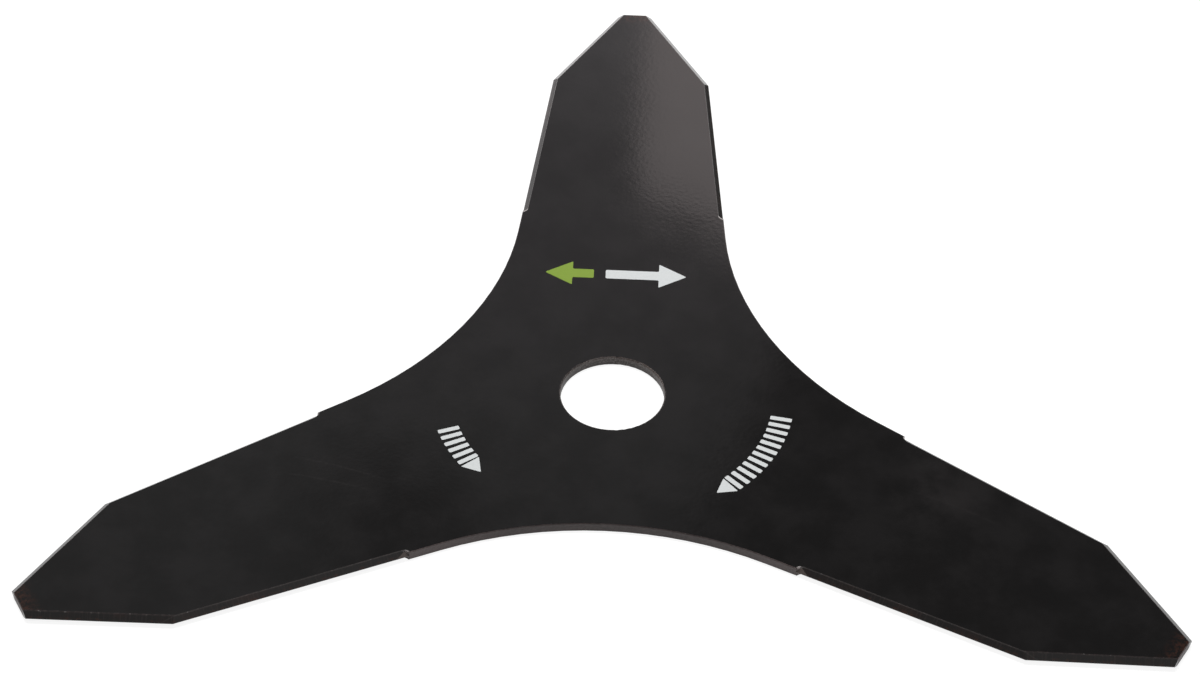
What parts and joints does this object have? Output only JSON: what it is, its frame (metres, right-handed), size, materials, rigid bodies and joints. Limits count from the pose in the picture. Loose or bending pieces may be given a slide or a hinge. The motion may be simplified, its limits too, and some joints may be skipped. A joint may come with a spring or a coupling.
{
  "type": "brushcutter blade",
  "caption": "Flat star-shaped brushcutter cutting blade with long tapered arms, ground double-bevel edges and a central arbor bore.",
  "frame": {"origin": "centre of the bore on the blade's underside", "axes": "+Z along the bore's axis, out of the upper face; +Y along the middle line of the first arm, from the bore to its blunt tip; +X to the right of that arm seen from above"},
  "size_m": [0.2688, 0.2327, 0.0025],
  "materials": {
    "blade": "satin black paint over steel, thin on the ground edges"
  },
  "bodies": {
    "root": {"blade": "blade"}
  },
  "joints": []
}
